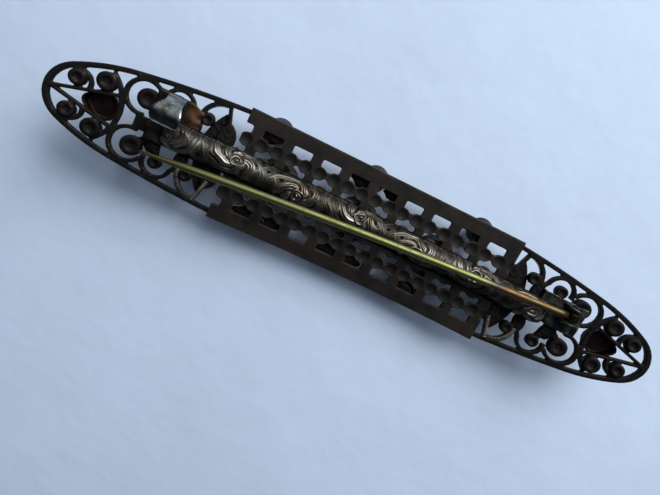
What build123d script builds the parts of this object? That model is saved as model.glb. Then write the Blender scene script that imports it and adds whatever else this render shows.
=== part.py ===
from build123d import *
import os
from math import acos, asin, atan2, cos, degrees, hypot, radians, sin, sqrt

# Filigree bar pin, lying on its stones with its back and its pin upwards.
# X runs along the pin, +X is the hinge end, +Z is the back, Z = 0 is the lowest stone's flat table.
# The whole body is bowed: its ends rise towards the back on concentric arcs about an axis along Y.

# ---- overall ----
half_length = 47.5          # middle to tip
half_width = 8.8            # middle to the galleries' outer edge
bow_radius = 140.0          # front face of the end frames
face_depth = 2.4            # stones' tables below the frames' front face, at the middle

# ---- sheet and wire thicknesses, stacked from the front to the back ----
frame_t = 0.8
gallery_t = 0.7
leaf_t = 0.5

# ---- end frames ----
rim_w = 0.72                # width of the rim wire
strut_w = 0.5
scroll_w = 0.58
tip_share = 0.51            # radius of the tip, as a share of half_width
tip_turn = 62.0             # degrees of the tip arc each side of the point
shoulder_back = 9.5         # from the tip to the end of the shoulder arc
shoulder_share = 0.73       # half width at the shoulder's end, as a share of half_width
rim_step = 0.2              # the rim runs this far inside the galleries' edge
lap = 1.8                   # frames reach this far under the galleries
bite = 0.15                 # scrolls sink this far into the rim where they touch it
spine_w = 2.0
spine_sink = 0.2            # leaves start this far inside the spine's edge
neck_w = 0.9                # necks that join the scrolls' discs to the spine

# ---- scrolls of the upper half of an end; "back" is from the tip, "in" is from the rim's inside ----
strut_tip_back = 0.6        # slanted strut, from the tip to the crossing arc
strut_spread = 2.3
strut_past = 0.5
cross_back = 2.9            # centre of the arc that crosses the end under the boss's nose
cross_share = 0.716         # its radius, as a share of half_width
cross_half_turn = 50.0
cross_join = 0.5            # degrees past the middle, so that the two halves meet
curl_inside = 1.3           # disc inside the crossing arc, measured from the arc towards its centre
curl_turn = 42.0            # degrees from the long axis
curl_r = 1.3
hook_back = 3.3             # hook and its disc beside the strut
hook_in = 1.85
hook_r = 1.7
hook_turn = (85, 190)
hook_disc_out = 0.5
hook_disc_r = 1.08
small_disc_r = 0.95
big_back = 11.4             # largest ring
big_r = 2.4
big_turn = (-105, 150)
big_disc_r = 1.45
big_disc_back = 0.55
big_neck_run = 3.2
mid_back = 15.8             # second ring, with a short tail
mid_r = 2.0
mid_turn = (-15, 175)
mid_disc_shift = 0.2
mid_disc_drop = 0.1
mid_neck_run = 1.2
tail_run = 0.9
tail_top = 0.3
tail_drop = 1.0
low_back = 22.0             # wide arc beside the galleries
low_r = 3.1
low_turn = (-8, 88)
low_sink = 0.2
low_disc_run = 2.0
low_disc_up = 0.1
stay_run = 1.3              # slanted milled stay beside that arc
stay_top_run = 0.2
stay_drop = 0.4
long_leaf_gap = 0.7         # leaf under the second ring
long_leaf_up = 0.2
long_leaf_w = 1.9
short_leaf_run = 1.5        # leaf beside the galleries
short_leaf_lean = 0.3
short_leaf_up = 0.9
short_leaf_w = 2.6
spine_back = 11.2

# ---- leaf plates behind the end frames ----
leaf_past_gallery = 2.0     # galleries' end to the plate's middle
leaf_plate_in = 2.5         # galleries' edge to the plate's points
leaf_plate_w = 4.4

# ---- galleries ----
left_end_len = 25.1         # tip to the galleries' left end
right_end_len = 24.1        # tip to the galleries' right end
pitch = 4.75                # one repeat of the pierced pattern
phase = 1.05                # place of the opening nearest the middle
window_w = 3.0              # outer row of openings
window_top_in = 2.3         # solid band outside the windows
window_deep = 1.55
bead_r = 1.05               # chain of beads between the rows, two to a repeat
bead_in = 4.5               # chain's centre line, in from the outer edge
bow_tie_w = 3.2             # inner row of openings
bow_tie_deep = 1.45
bow_tie_top = 0.45          # bead centre to the top of the inner opening
lobe_r = 1.15
lobe_in = 7.2               # lobes' centre line, in from the outer edge
end_post = 0.8              # least metal left at the galleries' right end

# ---- stones and their cups ----
middle_x = -1.4             # stones that the pin lies on
large_x = (-15.2, middle_x, 12.4)
large_stone_r = 3.3
large_table_r = 2.2
small_upper_x = (-17.7, middle_x, 17.2)
small_lower_x = (-15.5, middle_x, 10.4)
small_edge_out = 0.5        # small cups stand this far outside the galleries' edge
small_stone_r = 1.8
small_table_r = 1.1
crown_h = 1.0
girdle_h = 0.3
large_pavilion_h = 1.6
small_pavilion_h = 1.1
cup_wall = 0.35
cup_taper = 0.6             # a cup's foot is this much narrower than its mouth
culet_r = 0.25
cup_window_r = 2.2          # open back of a large cup

# ---- pear-shaped bosses in the end frames ----
boss_back = 6.75            # tip to the boss's middle
boss_r = 2.1
boss_nose_out = 1.6         # boss's middle to its nose's middle
boss_nose_r = 0.95
boss_depth = 1.5
boss_wall = 0.35

# ---- back bar ----
bar_w = 4.2
bar_h = 1.9
bar_y = 0.35
bar_left_back = 15.5        # tip to the bar's left end
bar_right_back = 16.9       # tip to the bar's right end
bar_to_pin = 0.4            # air between the flattened bar ends and the pin wire

# ---- hinge ----
hinge_back = 13.6           # tip to the hinge axis
hinge_y = 2.0
rivet_r = 0.45
rivet_fit = 0.03            # radial clearance of the rivet in the lugs
eye_play = 0.10             # radial clearance of the rivet in the knuckle, worn loose
knuckle_r = 1.0
knuckle_len = 1.3
knuckle_gap = 0.3           # knuckle to each lug
knuckle_lift = 0.25         # knuckle above the hinge plate
lug_t = 0.45
lug_r = 1.1
lug_foot = 1.75             # lug's half length at the plate
head_r = 0.8
head_h = 0.35
head_gap = 0.05
hinge_plate_left = 4.5      # plate's reach from the hinge axis towards the bar
hinge_plate_right = 2.3
hinge_plate_low = 3.0       # plate's reach from the hinge axis in -Y
hinge_plate_high = 1.8

# ---- pin ----
pin_r = 0.55
pin_len = 67.9              # hinge axis to tip
pin_taper_len = 7.0
pin_tip_r = 0.14
rest_swing = 4.56           # degrees that the pin hangs out of line, towards -Y

# ---- catch ----
hood_inner_r = 1.55
hood_t = 0.45
hood_y = 3.85
hood_over_pin = 0.2         # lip above the pin wire, so that the pin slides in under it
hood_left_back = 13.5       # tip to the hood's outer end
hood_len = 4.3
hood_waist = 2.5            # tongue's length where it leaves the foot
hood_corner = 1.6           # from the hood's inner end to the middle of that waist
foot_t = 0.45
foot_gap = 0.15             # hood's foot to the bar's edge
saddle_low = -1.7
saddle_high = 5.6
saddle_over = 0.4           # saddle beyond the bar's and the hood's ends
saddle_under_bar = 4.0

# ---- derived levels: distances from the front face of the end frames ----
gallery_lo = frame_t
gallery_hi = frame_t + gallery_t
axis_z = face_depth + bow_radius
hinge_x = half_length - hinge_back
gallery_left = left_end_len - half_length
gallery_right = half_length - right_end_len
frame_end = min(-gallery_left, gallery_right) - lap
tip_radius = tip_share * half_width
cross_r = cross_share * half_width
deep = 60.0                 # larger than the whole pin is high


def level_z(level, x):
    """Height of the bowed surface at this level, above x."""
    return axis_z - sqrt((bow_radius - level) ** 2 - x ** 2)


def bow_cylinder(level):
    """Everything nearer the bow's axis than this level."""
    turned = Rotation(90, 0, 0)
    return Pos(0, 0, axis_z) * turned * Cylinder(bow_radius - level, 4 * half_width)


def bowed(sketch, low, high):
    """Plan outline made a bowed sheet between two levels."""
    block = extrude(Pos(0, 0, -1) * sketch, deep)
    return (block & bow_cylinder(low)) - bow_cylinder(high)


def area(x0, x1, y0, y1):
    """Plan rectangle between two corners."""
    return Pos((x0 + x1) / 2, (y0 + y1) / 2) * Rectangle(x1 - x0, y1 - y0)


def bar_area(p, q, width):
    """Straight band from p to q."""
    length = hypot(q[0] - p[0], q[1] - p[1])
    angle = degrees(atan2(q[1] - p[1], q[0] - p[0]))
    middle = ((p[0] + q[0]) / 2, (p[1] + q[1]) / 2)
    return Pos(*middle) * Rot(0, 0, angle) * Rectangle(length, width)


def arc_area(x, y, radius, width, start, end):
    """Part of a ring between two angles, counter-clockwise."""
    outer = CenterArc((x, y), radius + width / 2, start, end - start)
    inner = CenterArc((x, y), radius - width / 2, start, end - start)
    sides = [Line(outer @ 0, inner @ 0), Line(outer @ 1, inner @ 1)]
    return make_face([outer, inner, *sides])


def disc_area(x, y, radius):
    """Round disc in plan."""
    return Pos(x, y) * Circle(radius)


def leaf_area(p, q, width):
    """Pointed leaf from p to q."""
    length = hypot(q[0] - p[0], q[1] - p[1])
    angle = degrees(atan2(q[1] - p[1], q[0] - p[0]))
    upper = ThreePointArc((0, 0), (length / 2, width / 2), (length, 0))
    lower = ThreePointArc((0, 0), (length / 2, -width / 2), (length, 0))
    return Pos(*p) * Rot(0, 0, angle) * make_face([upper, lower])


def next_arc(start, heading, end):
    """Arc that leaves start at this heading, turns left and ends at end."""
    chord = (end[0] - start[0], end[1] - start[1])
    normal = (-sin(radians(heading)), cos(radians(heading)))
    radius = (chord[0] ** 2 + chord[1] ** 2) / (2 * (chord[0] * normal[0] + chord[1] * normal[1]))
    centre = (start[0] + normal[0] * radius, start[1] + normal[1] * radius)
    first = heading - 90
    last = degrees(atan2(end[1] - centre[1], end[0] - centre[0]))
    return {"centre": centre, "radius": radius, "first": first, "last": last}


def rim_arcs():
    """Upper half of the right end's outline: tip, shoulder and flank arcs, in line with each other."""
    tip_centre = (half_length - tip_radius, 0)
    tip = {"centre": tip_centre, "radius": tip_radius, "first": 0, "last": tip_turn}
    turn = radians(tip_turn)
    tip_end = (tip_centre[0] + tip_radius * cos(turn), tip_radius * sin(turn))
    shoulder_end = (half_length - shoulder_back, shoulder_share * half_width)
    shoulder = next_arc(tip_end, tip_turn + 90, shoulder_end)
    flank = next_arc(shoulder_end, shoulder["last"] + 90, (frame_end - lap, half_width - rim_step))
    return [tip, shoulder, flank]


rim = rim_arcs()


def rim_y(x, inset=rim_w):
    """Half width of the end frame's outline at x, or of the space inside the rim."""
    for arc in rim:
        reach = arc["radius"] - inset
        if x >= arc["centre"][0] + reach * cos(radians(arc["last"])):
            return arc["centre"][1] + sqrt(reach ** 2 - (x - arc["centre"][0]) ** 2)
    return half_width - rim_step - inset


def rim_outline(inset):
    """Filled outline of the right end, inset from its edge."""
    upper = [CenterArc(a["centre"], a["radius"] - inset, a["first"], a["last"] - a["first"]) for a in rim]
    lower = [edge.mirror(Plane.XZ) for edge in upper]
    closing = Line(upper[-1] @ 1, lower[-1] @ 1)
    return make_face([*upper, *lower, closing])


def scroll_area():
    """Scrolls and struts of the upper half of the right end."""
    pieces = []
    cross_x = half_length - cross_back
    strut_end = (cross_x - cross_r + strut_past, strut_spread)
    pieces.append(bar_area((half_length - strut_tip_back, 0), strut_end, strut_w))
    pieces.append(arc_area(cross_x, 0, cross_r, scroll_w, 180 - cross_half_turn, 180 + cross_join))
    curl_reach = cross_r - curl_inside
    curl_x = cross_x - curl_reach * cos(radians(curl_turn))
    pieces.append(disc_area(curl_x, curl_reach * sin(radians(curl_turn)), curl_r))
    hook_x = half_length - hook_back
    hook_y = rim_y(hook_x) - hook_in
    pieces.append(arc_area(hook_x, hook_y, hook_r, strut_w, *hook_turn))
    pieces.append(disc_area(hook_x, hook_y + hook_disc_out, hook_disc_r))

    neck_y = spine_w / 2 - bite
    big_x = half_length - big_back
    big_y = rim_y(big_x) - big_r - scroll_w / 2 + bite
    pieces.append(arc_area(big_x, big_y, big_r, scroll_w, *big_turn))
    pieces.append(disc_area(big_x - big_disc_back, big_y, big_disc_r))
    pieces.append(bar_area((big_x, big_y), (big_x - big_neck_run, neck_y), neck_w))

    mid_x = half_length - mid_back
    mid_y = rim_y(mid_x) - mid_r - scroll_w / 2 + bite
    mid_disc_x = mid_x + mid_disc_shift
    tail_x = mid_x - mid_r
    pieces.append(arc_area(mid_x, mid_y, mid_r, scroll_w, *mid_turn))
    pieces.append(bar_area((tail_x, mid_y + tail_top), (tail_x - tail_run, mid_y - tail_drop), scroll_w))
    pieces.append(disc_area(mid_disc_x, mid_y - mid_disc_drop, small_disc_r))
    pieces.append(bar_area((mid_disc_x, mid_y), (mid_x + mid_neck_run, neck_y), neck_w))

    low_x = half_length - low_back
    low_y = rim_y(low_x) - low_r - scroll_w / 2 + bite + low_sink
    stay_top = (low_x - stay_top_run, rim_y(low_x) + bite)
    pieces.append(arc_area(low_x, low_y, low_r, scroll_w, *low_turn))
    pieces.append(disc_area(low_x + low_disc_run, low_y + low_disc_up, small_disc_r))
    pieces.append(bar_area((low_x - stay_run, low_y - stay_drop), stay_top, strut_w))

    spine_y = spine_w / 2 - spine_sink
    long_tip = (tail_x - long_leaf_gap, mid_y + long_leaf_up)
    short_foot = (low_x - short_leaf_run, spine_y)
    short_tip = (low_x - short_leaf_run + short_leaf_lean, low_y + short_leaf_up)
    pieces.append(leaf_area((low_x + low_r, spine_y), long_tip, long_leaf_w))
    pieces.append(leaf_area(short_foot, short_tip, short_leaf_w))
    pieces.append(area(frame_end, half_length - spine_back, 0, spine_w / 2))
    return pieces


def right_frame():
    """Rim, mirrored scrolls and the spine between them, with a seat for the boss."""
    inside = area(frame_end, half_length, -half_width, half_width)
    sheet = (rim_outline(0) - rim_outline(rim_w)) & inside
    upper = scroll_area()
    for piece in upper:
        sheet += piece
        sheet += piece.mirror(Plane.XZ)
    return bowed(sheet, 0, frame_t)


def boss_area(inset):
    """Pear outline: a round back and a smaller nose towards the tip."""
    body = disc_area(0, 0, boss_r - inset)
    nose = disc_area(boss_nose_out, 0, boss_nose_r - inset)
    side = acos((boss_r - boss_nose_r) / boss_nose_out)
    big = (boss_r - inset) * cos(side), (boss_r - inset) * sin(side)
    small = boss_nose_out + (boss_nose_r - inset) * cos(side), (boss_nose_r - inset) * sin(side)
    web = Polyline(big, small, (small[0], -small[1]), (big[0], -big[1]), close=True)
    return body + nose + make_face(web)


def boss():
    """Dished pear-shaped boss, hollow towards the back, under the right end frame."""
    place = Pos(half_length - boss_back, 0, 0)
    skin = bowed(place * boss_area(0), -boss_depth, 0)
    hollow = bowed(place * boss_area(boss_wall), boss_wall - boss_depth, boss_wall)
    return skin - hollow


def leaf_plate():
    """Pair of pointed leaves across the front, behind the right end frame."""
    x = gallery_right + leaf_past_gallery
    reach = half_width - leaf_plate_in
    sheet = leaf_area((x, -reach), (x, reach), leaf_plate_w)
    return bowed(sheet, -leaf_t, 0)


def opening_centres(low, high):
    """Places of the pattern's openings between two ends."""
    first = int((low - phase) // pitch)
    last = int((high - phase) // pitch) + 1
    places = [phase + pitch * step for step in range(first, last + 1)]
    return [x for x in places if low <= x <= high]


def upper_gallery():
    """Pierced strip with a plain outer band, a chain of beads and lobes."""
    strip = area(gallery_left, gallery_right, 0, half_width)
    window_top = half_width - window_top_in
    bead_y = half_width - bead_in
    lobe_y = half_width - lobe_in
    tie_top = bead_y - bow_tie_top
    for x in opening_centres(gallery_left - window_w / 2, gallery_right - window_w / 2 - end_post):
        beads = disc_area(x - pitch / 4, bead_y, bead_r) + disc_area(x + pitch / 4, bead_y, bead_r)
        window = area(x - window_w / 2, x + window_w / 2, window_top - window_deep, window_top)
        tie = area(x - bow_tie_w / 2, x + bow_tie_w / 2, tie_top - bow_tie_deep, tie_top)
        strip -= window - beads
        strip -= tie - beads - disc_area(x, lobe_y, lobe_r)
    return bowed(strip, gallery_lo, gallery_hi)


def stone(radius, table_r, pavilion_h):
    """Round cut stone, table down at Z = 0, point up."""
    girdle_z = crown_h + girdle_h
    outline = Polyline(
        (0, 0),
        (table_r, 0),
        (radius, crown_h),
        (radius, girdle_z),
        (culet_r, girdle_z + pavilion_h),
        (0, girdle_z + pavilion_h),
        close=True,
    )
    return revolve(Plane.XZ * make_face(outline), Axis.Z)


def cup(radius, shape, window_r, lift, x):
    """Conical cup round a stone, from its girdle up to the galleries' front face."""
    mouth_r = radius + cup_wall
    foot_z = level_z(gallery_lo, abs(x) + mouth_r) - lift
    outline = Polyline(
        (0, crown_h),
        (mouth_r, crown_h),
        (mouth_r, crown_h + girdle_h),
        (mouth_r - cup_taper, foot_z),
        (0, foot_z),
        close=True,
    )
    body = revolve(Plane.XZ * make_face(outline), Axis.Z) - shape
    if window_r:
        body -= Pos(0, 0, foot_z) * Cylinder(window_r, 2 * foot_z)
    return body


def set_stone(x, y, radius, table_r, pavilion_h, window_r):
    """Stone and cup at a place under the galleries; the cup ends on their front face."""
    lift = level_z(0, x) - level_z(0, middle_x)
    shape = stone(radius, table_r, pavilion_h)
    holder = Pos(x, y, lift) * cup(radius, shape, window_r, lift, x)
    return Pos(x, y, lift) * shape, holder - bow_cylinder(gallery_lo)


def pin_height():
    """Height of the hinge axis: the knuckle clears the hinge plate all round."""
    reach = bow_radius - gallery_hi - knuckle_lift - knuckle_r
    return axis_z - sqrt(reach ** 2 - hinge_x ** 2)


pin_z = pin_height()
bar_top_z = pin_z - pin_r - bar_to_pin


def back_bar():
    """Half-round bar bent to the bow, flattened at its ends where the pin crosses over it."""
    seat_z = level_z(gallery_hi, 0)
    base = Line((bar_y - bar_w / 2, seat_z), (bar_y + bar_w / 2, seat_z))
    dome = ThreePointArc(base @ 0, (bar_y, seat_z + bar_h), base @ 1)
    profile = Plane.YZ * make_face([base, dome])
    sweep_angle = 2 * degrees(asin(half_length / bow_radius))
    bow_axis = Axis((0, 0, axis_z), (0, 1, 0))
    ring = revolve(profile, bow_axis, sweep_angle / 2)
    ring += revolve(profile, bow_axis, -sweep_angle / 2)
    left = bar_left_back - half_length
    right = half_length - bar_right_back
    keep = Box(right - left, 4 * half_width, deep)
    return ring & (Pos((left + right) / 2, 0, bar_top_z - deep / 2) * keep)


def left_saddle():
    """Flat packing between the left end frame, the bar and the catch."""
    left = hood_left_back - half_length - saddle_over
    right = bar_left_back - half_length + saddle_under_bar
    return bowed(area(left, right, saddle_low, saddle_high), gallery_lo, gallery_hi)


def across(radius, length, x=0, y=0, z=0):
    """Cylinder along Y."""
    return Pos(x, y, z) * Rotation(90, 0, 0) * Cylinder(radius, length)


def hinge_plate():
    """Soldered plate with two upright lugs for the rivet."""
    x0 = hinge_x - hinge_plate_left
    x1 = hinge_x + hinge_plate_right
    outline = area(x0, x1, hinge_y - hinge_plate_low, hinge_y + hinge_plate_high)
    plate = bowed(outline, gallery_lo, gallery_hi)
    foot = Polyline(
        (hinge_x - lug_foot, 0),
        (hinge_x + lug_foot, 0),
        (hinge_x + lug_r, pin_z),
        (hinge_x - lug_r, pin_z),
        close=True,
    )
    inner = knuckle_len / 2 + knuckle_gap
    for side in (1, -1):
        middle = hinge_y + side * (inner + lug_t / 2)
        lug = Pos(0, middle, 0) * extrude(Plane.XZ * make_face(foot), lug_t / 2, both=True)
        lug += across(lug_r, lug_t, hinge_x, middle, pin_z)
        plate += lug & bow_cylinder(gallery_lo + gallery_t / 2)
    return plate - across(rivet_r + rivet_fit, 4 * half_width, hinge_x, hinge_y, pin_z)


def hinge_rivet():
    """Rivet through both lugs, with a peened head outside each."""
    half_shank = knuckle_len / 2 + knuckle_gap + lug_t + head_gap
    body = across(rivet_r, 2 * half_shank + head_h, hinge_x, hinge_y, pin_z)
    for side in (1, -1):
        body += across(head_r, head_h, hinge_x, hinge_y + side * (half_shank + head_h / 2), pin_z)
    return body


def swung(shape):
    """Place a pin part, drawn along -X from the hinge axis, where the loose pin hangs."""
    return Pos(hinge_x, hinge_y, pin_z) * Rot(0, 0, rest_swing) * shape


def pin_knuckle():
    """Short tube on the rivet."""
    return swung(across(knuckle_r, knuckle_len) - across(rivet_r + eye_play, 2 * knuckle_len))


def pin_stem():
    """Straight wire from the knuckle to a sharp tip."""
    straight = pin_len - pin_taper_len
    outline = Polyline(
        (0, 0),
        (0, pin_r),
        (straight, pin_r),
        (pin_len, pin_tip_r),
        (pin_len, 0),
        close=True,
    )
    wire = revolve(Plane.XZ * make_face(outline), Axis.X).mirror(Plane.YZ)
    return swung(wire - across(knuckle_r, 2 * knuckle_len))


def catch_hood():
    """Tongue that rises from its foot and curls over towards -Y; the pin tip lies under it."""
    outer_r = hood_inner_r + hood_t
    curl_z = pin_z + pin_r + hood_over_pin
    left = hood_left_back - half_length
    right = left + hood_len
    ring = Circle(outer_r) - Circle(hood_inner_r)
    arch = ring & area(-outer_r, outer_r, 0, outer_r)
    wall = area(hood_inner_r, outer_r, -curl_z, 0)
    section = Pos(hood_y, curl_z) * (arch + wall)
    tube = extrude(Plane.YZ * section, deep, both=True)
    waist_x = right - hood_corner
    tongue = Polyline(
        (left, hood_y - outer_r),
        (right, hood_y - outer_r),
        (right, hood_y),
        (waist_x + hood_waist / 2, hood_y + outer_r),
        (waist_x - hood_waist / 2, hood_y + outer_r),
        (left, hood_y - outer_r / 2),
        close=True,
    )
    body = tube & extrude(make_face(tongue), deep)
    body = body & bow_cylinder(gallery_hi)
    foot_right = waist_x + hood_waist / 2
    foot_left = waist_x - hood_waist / 2
    foot_low = bar_y + bar_w / 2 + foot_gap
    foot = area(foot_left, foot_right, foot_low, hood_y + outer_r)
    return body + bowed(foot, gallery_hi, gallery_hi + foot_t)


def all_parts():
    """Every piece by its node name."""
    frame = right_frame()
    dish = boss()
    plate = leaf_plate()
    gallery = upper_gallery()
    parts = {
        "left_end_frame": frame.mirror(Plane.YZ),
        "right_end_frame": frame,
        "left_boss": dish.mirror(Plane.YZ),
        "right_boss": dish,
        "left_leaf_plate": plate.mirror(Plane.YZ),
        "right_leaf_plate": plate,
        "upper_gallery": gallery,
        "lower_gallery": gallery.mirror(Plane.XZ),
        "back_bar": back_bar(),
        "left_saddle": left_saddle(),
        "catch_hood": catch_hood(),
        "hinge_plate": hinge_plate(),
        "hinge_rivet": hinge_rivet(),
        "pin_knuckle": pin_knuckle(),
        "pin_stem": pin_stem(),
    }
    for number, x in enumerate(large_x, 1):
        glass, holder = set_stone(x, 0, large_stone_r, large_table_r, large_pavilion_h, cup_window_r)
        parts[f"large_stone_{number}"] = glass
        parts[f"large_cup_{number}"] = holder
    small_y = half_width + small_edge_out - small_stone_r - cup_wall
    places = [(x, small_y) for x in small_upper_x] + [(x, -small_y) for x in small_lower_x]
    for number, (x, y) in enumerate(places, 1):
        glass, holder = set_stone(x, y, small_stone_r, small_table_r, small_pavilion_h, 0)
        parts[f"small_stone_{number}"] = glass
        parts[f"small_cup_{number}"] = holder
    return parts


os.makedirs("parts", exist_ok=True)
for node, shape in all_parts().items():
    export_step(shape, f"parts/{node}.step")
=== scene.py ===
import math

import bmesh
import bpy
from mathutils import Matrix, Vector, noise


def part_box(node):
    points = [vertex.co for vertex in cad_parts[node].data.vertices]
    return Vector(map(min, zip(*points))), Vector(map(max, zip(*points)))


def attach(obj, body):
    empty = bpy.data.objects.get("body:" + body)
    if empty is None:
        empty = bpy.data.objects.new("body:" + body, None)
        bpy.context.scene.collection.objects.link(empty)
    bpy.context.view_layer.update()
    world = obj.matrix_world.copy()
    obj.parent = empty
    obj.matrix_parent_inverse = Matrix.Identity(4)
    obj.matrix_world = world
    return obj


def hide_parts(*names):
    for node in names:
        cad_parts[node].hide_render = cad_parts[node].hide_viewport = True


bl_info = {
    "name": "Openwork bar pin",
    "version": (1, 0, 0),
    "blender": (4, 5, 0),
    "location": "3D Viewport > Sidebar > Bar pin",
    "description": "Builds an old openwork bar pin with paste stones round its CAD frame",
    "category": "Mesh",
}

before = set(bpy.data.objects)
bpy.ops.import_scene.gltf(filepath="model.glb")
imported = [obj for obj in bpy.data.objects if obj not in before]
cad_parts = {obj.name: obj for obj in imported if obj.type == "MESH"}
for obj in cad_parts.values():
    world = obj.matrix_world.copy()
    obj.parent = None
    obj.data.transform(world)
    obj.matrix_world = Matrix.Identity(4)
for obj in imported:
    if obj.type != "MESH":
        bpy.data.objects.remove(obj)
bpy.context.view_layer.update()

MM = 0.001

# Settings of a node that mixes two colours. Its sockets are 0 share, 6 first colour, 7 second colour.
BLEND = {"data_type": "RGBA"}

# The bow that the whole pin follows, in mm. A level is a distance from the end frames' front face
# towards the back.
BOW_RADIUS = 140.0
AXIS_Z = 142.4
FRAME_BACK = 0.8
GALLERY_BACK = 1.5

# Round terminals of the scrolls in a quarter of the right end, in mm: place along, place across, radius.
TERMINALS = ((44.2, 2.26, 1.08), (40.88, 3.35, 1.3), (35.55, 3.48, 1.45), (31.9, 4.45, 0.95), (27.5, 4.4, 0.95))

# Leaves in that quarter, in mm: foot, tip, width.
LEAVES = (((28.6, 0.8), (29.0, 4.75), 1.9), ((24.0, 0.8), (24.3, 5.2), 2.6))

# Solid leaf between that quarter's middle rings, in mm: foot, tip, width.
RING_LEAF = ((34.2, 0.9), (31.9, 3.6), 2.4)

# Leaves before the galleries, in mm: distance from the middle, level of the leaves and of their veins, and each
# leaf's place along, length and width.
SETTING_LEAF_Y = 6.2
SETTING_LEAF_LEVEL = 0.2
SETTING_VEIN_LEVEL = SETTING_LEAF_LEVEL - 0.3
LOWER_LEAVES = ((-15.5, 8.6, 3.6), (-1.4, 8.4, 3.6), (10.4, 4.4, 3.4))
UPPER_LEAVES = ((-18.6, 4.2, 2.6), (-2.6, 5.6, 3.0), (2.0, 3.4, 2.0))

# Milled arc beside the galleries: middle and radius in mm, first and last angle in degrees. Milled stay: both its
# ends in mm. Lengths of their ribs in mm.
MILLED_ARC = ((25.5, 4.3), 3.1, -4, 84)
MILLED_STAY = ((24.3, 4.1), (25.3, 7.4))
ARC_RIB, STAY_RIB = 0.78, 0.66

# Chain of beads along a gallery, in mm: one bead's place, spacing, distance from the middle, radius, depth of dish.
BEAD_CHAIN = (-0.1375, 2.375, 4.3, 1.0)
BEAD_SINK = 0.25

# Grains along a gallery's outer edge: how many, radius in mm, distance from the edge in mm.
GRAIN_COUNT, GRAIN_RADIUS, GRAIN_INSET = 88, 0.26, 0.35

# Half-round bar, in mm: height, length of a mesh cell, cells across, runs over which the relief fades at the ends
# and edges, and how far the ends are dressed down.
BAR_RISE, BAR_CELL, BAR_ROWS = 1.9, 0.085, 68
BAR_END_RUN, BAR_EDGE_RUN, BAR_END_DROP = 1.2, 0.35, 0.35

# Spiral eyes of the bar's pattern, in mm: shift along, places across by turns, waviness along and across.
EYE_SHIFT = 1.37
EYE_HEIGHTS = (0.95, -0.55)
WAVE_ALONG, WAVE_ACROSS = 0.5, 0.4

# Saddle under the catch, in mm: where it starts to be drawn in, and where its painted shade under the catch gives
# way to the stain.
SADDLE_NECK = -30.0
SADDLE_STAIN = (-30.9, -29.3)

# Tongue of the catch, in mm: thickness of its sheet, how far its top leans along X and Y, towards the bar.
TONGUE_SHEET = 0.45
TONGUE_LEAN = (0.35, -0.75)

# Pin wire, in mm: degrees that it hangs out of line, hinge axis to start and to tip, taper, rise of its bow, and
# its radius along it and at the tip.
PIN_SWING, PIN_START, PIN_LENGTH, PIN_TAPER, PIN_BOW = 4.56, 0.95, 67.9, 7.0, 0.5
WIRE_RADIUS, TIP_RADIUS = 0.55, 0.14


# ---- small helpers ----


def linear(code):
    """The linear colour of an sRGB hex value such as 8a6b3f."""
    shares = [int(code[i:i + 2], 16) / 255 for i in (0, 2, 4)]
    return tuple(s / 12.92 if s <= 0.04045 else ((s + 0.055) / 1.055) ** 2.4 for s in shares)


def per_metre(size_mm):
    """The texture scale whose pattern repeats at about that many millimetres."""
    return 1 / (size_mm * MM)


def choose(*pieces):
    """Selects these pieces alone, the first one active."""
    bpy.ops.object.select_all(action="DESELECT")
    for piece in pieces:
        piece.select_set(True)
    bpy.context.view_layer.objects.active = pieces[0]


def taken(name):
    """The primitive that was just added, renamed, its place in its mesh."""
    piece = bpy.context.object
    piece.name = name
    piece.data.name = name
    choose(piece)
    bpy.ops.object.transform_apply(location=True, rotation=True, scale=True)
    return piece


def pick(piece, test, kind="faces"):
    """In edit mode, selects the faces, edges or verts that pass a test of place in mm and normal."""
    bpy.ops.mesh.select_mode(type={"faces": "FACE", "edges": "EDGE", "verts": "VERT"}[kind])
    bpy.ops.mesh.select_all(action="DESELECT")
    shape = bmesh.from_edit_mesh(piece.data)
    for part in getattr(shape, kind):
        if kind == "faces":
            found = test(part.calc_center_median() / MM, part.normal)
        elif kind == "edges":
            found = all(test(v.co / MM, part) for v in part.verts)
        else:
            found = test(part.co / MM, part)
        if found:
            part.select_set(True)
    shape.select_flush_mode()
    bmesh.update_edit_mesh(piece.data)


def edit(piece):
    """Opens a piece in edit mode."""
    choose(piece)
    bpy.ops.object.mode_set(mode="EDIT")


def done():
    """Goes back to object mode."""
    bpy.ops.object.mode_set(mode="OBJECT")


def turned_out():
    """Turns every face outwards, then goes back to object mode."""
    bpy.ops.mesh.select_all(action="SELECT")
    bpy.ops.mesh.normals_make_consistent(inside=False)
    done()


def node_copy(node, name):
    """A new piece with the shape of a CAD node, its loose triangles merged."""
    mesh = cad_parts[node].data.copy()
    mesh.materials.clear()
    piece = bpy.data.objects.new(name, mesh)
    bpy.context.scene.collection.objects.link(piece)
    edit(piece)
    bpy.ops.mesh.select_all(action="SELECT")
    bpy.ops.mesh.remove_doubles(threshold=0.001 * MM)
    done()
    return piece


def stamped(shape, place):
    """A copy of a shape, with its own mesh, at another place."""
    mesh = shape.data.copy()
    mesh.transform(place)
    if place.determinant() < 0:
        mesh.flip_normals()
    copy = bpy.data.objects.new("stamp", mesh)
    bpy.context.scene.collection.objects.link(copy)
    return copy


def drop(*shapes):
    """Removes shapes once they are stamped."""
    for shape in shapes:
        bpy.data.objects.remove(shape)


def joined(pieces):
    """Several shapes as one piece, named as the first."""
    choose(*pieces)
    if len(pieces) > 1:
        bpy.ops.object.join()
    return pieces[0]


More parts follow.
